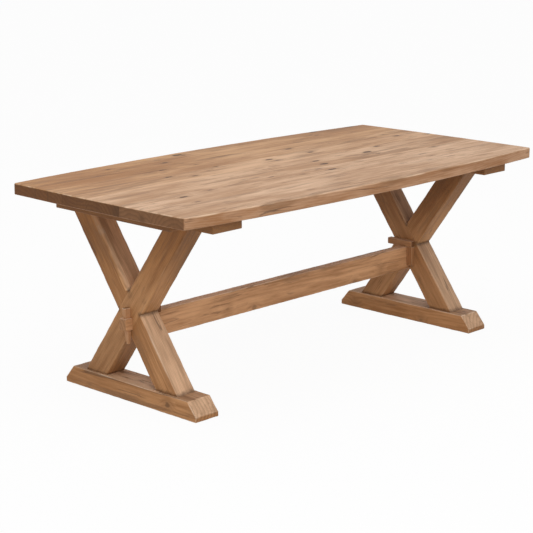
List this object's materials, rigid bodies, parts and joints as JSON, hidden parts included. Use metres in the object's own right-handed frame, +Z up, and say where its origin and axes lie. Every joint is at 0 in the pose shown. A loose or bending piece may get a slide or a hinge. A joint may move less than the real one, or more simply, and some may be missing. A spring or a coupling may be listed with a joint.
{
  "type": "sawbuck table",
  "caption": "Rustic timber dining table: plank top with bowed long edges on crossed trestles with sled feet, tied by a wedged through-tenon stretcher.",
  "frame": {"origin": "on the floor, under the middle of the table top", "axes": "+X along the table, +Y across it from front to back, +Z up"},
  "size_m": [1.96, 0.996, 0.76],
  "materials": {
    "top_timber": "matt oiled, warm tan with dark streaks, knots and fine checks",
    "frame_timber": "matt oiled, straight grain along each timber, worn arrises",
    "housing_timber": "matt oiled, a little darker than the frame",
    "wedge_timber": "matt oiled, worn at the head",
    "tongue_timber": "bare sawn timber, hidden inside the top",
    "screw_steel": "plain zinc-plated steel"
  },
  "bodies": {
    "frame": {"top_board_1": "top_timber", "top_board_2": "top_timber", "top_board_3": "top_timber", "top_board_4": "top_timber", "top_board_5": "top_timber", "top_board_6": "top_timber", "top_board_7": "top_timber", "top_tongue_1": "tongue_timber", "top_tongue_2": "tongue_timber", "top_tongue_3": "tongue_timber", "top_tongue_4": "tongue_timber", "top_tongue_5": "tongue_timber", "top_tongue_6": "tongue_timber", "stretcher": "frame_timber", "left_foot": "frame_timber", "left_front_leg": "frame_timber", "left_back_leg": "frame_timber", "left_batten": "frame_timber", "left_stretcher_cap": "housing_timber", "left_back_cheek": "housing_timber", "left_front_cheek": "housing_timber", "left_batten_screws": "screw_steel", "right_foot": "frame_timber", "right_front_leg": "frame_timber", "right_back_leg": "frame_timber", "right_batten": "frame_timber", "right_stretcher_cap": "housing_timber", "right_back_cheek": "housing_timber", "right_front_cheek": "housing_timber", "right_batten_screws": "screw_steel"},
    "left_wedge": {"left_wedge": "wedge_timber"},
    "right_wedge": {"right_wedge": "wedge_timber"}
  },
  "joints": [
    {"name": "left_wedge_draw", "type": "slide", "parent": "frame", "child": "left_wedge", "axis": [0, 0, 1], "range_m": [0, 0.1]},
    {"name": "right_wedge_draw", "type": "slide", "parent": "frame", "child": "right_wedge", "axis": [0, 0, 1], "range_m": [0, 0.1]}
  ]
}
